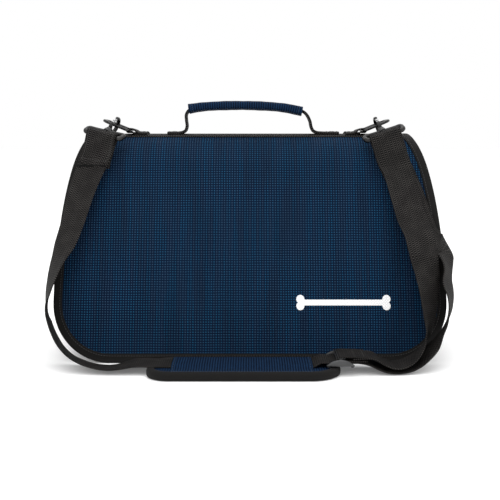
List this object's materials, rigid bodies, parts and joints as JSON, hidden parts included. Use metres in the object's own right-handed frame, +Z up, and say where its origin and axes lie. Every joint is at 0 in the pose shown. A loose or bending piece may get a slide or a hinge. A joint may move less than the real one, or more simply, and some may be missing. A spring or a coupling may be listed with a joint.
{
  "type": "pet carrier bag",
  "caption": "Structured pet carrier with two leaning foam panels, mesh end doors, a carrying handle on the ridge and a padded shoulder strap on snap hooks.",
  "frame": {"origin": "middle of the base, on the floor", "axes": "+Z up, +X to the right seen from the front, the front panel faces -Y"},
  "size_m": [0.4897, 0.3106, 0.3091],
  "materials": {
    "navy_fabric": "woven fabric bonded over foam, blue dots in a dark square grid",
    "navy_padding": "the same woven fabric over soft foam",
    "binding_tape": "matt ribbed binding tape, folded and sewn",
    "black_fabric": "plain woven black fabric",
    "webbing": "coarse woven polypropylene webbing",
    "mesh": "open knitted mesh",
    "fleece": "soft short pile",
    "board": "stiff sheet",
    "zip_teeth": "coil zip",
    "slider_plastic": "moulded, slightly grained",
    "dark_metal": "gunmetal",
    "gate_steel": "bright spring gate"
  },
  "bodies": {
    "carrier": {"front_panel": "navy_fabric", "front_binding": "binding_tape", "back_panel": "navy_fabric", "back_binding": "binding_tape", "base_gusset": "black_fabric", "base_board": "board", "fleece_mat": "fleece", "left_end_frame": "black_fabric", "left_zip": "zip_teeth", "right_end_frame": "black_fabric", "right_zip": "zip_teeth", "ridge_webbing": "webbing", "handle_foot_left": "webbing", "handle_foot_right": "webbing", "left_d_ring_tab": "webbing", "right_d_ring_tab": "webbing"},
    "left_door": {"left_door_border": "black_fabric", "left_door_mesh": "mesh"},
    "right_door": {"right_door_border": "black_fabric", "right_door_mesh": "mesh"},
    "left_zip_runner": {"left_zip_slider": "dark_metal"},
    "left_zip_tag": {"left_zip_pull": "dark_metal"},
    "right_zip_runner": {"right_zip_slider": "dark_metal"},
    "right_zip_tag": {"right_zip_pull": "dark_metal"},
    "handle": {"handle_webbing": "webbing", "handle_grip": "navy_padding"},
    "left_ring": {"left_d_ring": "dark_metal"},
    "right_ring": {"right_d_ring": "dark_metal"},
    "strap": {"strap_webbing": "webbing", "left_hook_loop": "dark_metal", "right_hook_loop": "dark_metal"},
    "left_claw": {"left_hook_claw": "dark_metal"},
    "right_claw": {"right_hook_claw": "dark_metal"},
    "left_gate": {"left_hook_gate": "gate_steel"},
    "right_gate": {"right_hook_gate": "gate_steel"},
    "pad": {"shoulder_pad": "navy_padding", "pad_binding": "binding_tape", "pad_sleeve": "navy_padding"},
    "glide": {"tri_glide": "slider_plastic", "strap_end_loop": "webbing"}
  },
  "joints": [
    {"name": "left_door_open", "type": "hinge", "parent": "carrier", "child": "left_door", "pos_m": [-0.2322, 0, 0.066], "axis": [0, -1, 0], "range_deg": [0, 110]},
    {"name": "left_zip_run", "type": "slide", "parent": "carrier", "child": "left_zip_runner", "axis": [0.0213, -0.2755, 0.9611], "range_m": [0, 0.09]},
    {"name": "left_zip_tag_lift", "type": "hinge", "parent": "left_zip_runner", "child": "left_zip_tag", "pos_m": [-0.2372, 0.07056, 0.0505], "axis": [0, 1, 0], "range_deg": [0, 150]},
    {"name": "left_ring_tilt", "type": "hinge", "parent": "carrier", "child": "left_ring", "pos_m": [-0.152, 0, 0.2716], "axis": [0, 1, 0], "range_deg": [-4, 4]},
    {"name": "left_hook_swivel", "type": "hinge", "parent": "strap", "child": "left_claw", "pos_m": [-0.1785, -0.053, 0.266], "axis": [0.3019, 0.8912, 0.3385], "range_deg": [-5, 5]},
    {"name": "left_gate_press", "type": "hinge", "parent": "left_claw", "child": "left_gate", "pos_m": [-0.16828, -0.03419, 0.2821], "axis": [-0.9072, 0.1594, 0.3894], "range_deg": [0, 15], "stiffness_Nm_per_rad": 0.004, "springref_deg": -17.19},
    {"name": "right_door_open", "type": "hinge", "parent": "carrier", "child": "right_door", "pos_m": [0.2322, 0, 0.066], "axis": [0, 1, 0], "range_deg": [0, 110]},
    {"name": "right_zip_run", "type": "slide", "parent": "carrier", "child": "right_zip_runner", "axis": [-0.0213, -0.2755, 0.9611], "range_m": [0, 0.09]},
    {"name": "right_zip_tag_lift", "type": "hinge", "parent": "right_zip_runner", "child": "right_zip_tag", "pos_m": [0.2372, 0.07056, 0.0505], "axis": [0, -1, 0], "range_deg": [0, 150]},
    {"name": "right_ring_tilt", "type": "hinge", "parent": "carrier", "child": "right_ring", "pos_m": [0.143, 0, 0.2716], "axis": [0, 1, 0], "range_deg": [-4, 4]},
    {"name": "right_hook_swivel", "type": "hinge", "parent": "strap", "child": "right_claw", "pos_m": [0.1635, -0.053, 0.266], "axis": [-0.1384, 0.9258, 0.3517], "range_deg": [-5, 5]},
    {"name": "right_gate_press", "type": "hinge", "parent": "right_claw", "child": "right_gate", "pos_m": [0.15725, -0.0329, 0.28257], "axis": [-0.9397, -0.0106, -0.342], "range_deg": [0, 15], "stiffness_Nm_per_rad": 0.004, "springref_deg": -17.19},
    {"name": "handle_swing", "type": "hinge", "parent": "carrier", "child": "handle", "pos_m": [0, 0, 0.284], "axis": [1, 0, 0], "range_deg": [-70, 70]},
    {"name": "strap_swing", "type": "hinge", "parent": "carrier", "child": "strap", "pos_m": [0, -0.0213, 0.27804], "axis": [-1, 0, 0], "range_deg": [0, 150]},
    {"name": "pad_slide", "type": "slide", "parent": "strap", "child": "pad", "axis": [1, 0, 0], "range_m": [-0.01, 0]},
    {"name": "glide_slide", "type": "slide", "parent": "strap", "child": "glide", "axis": [1, 0, 0], "range_m": [-0.005, 0.005]}
  ]
}
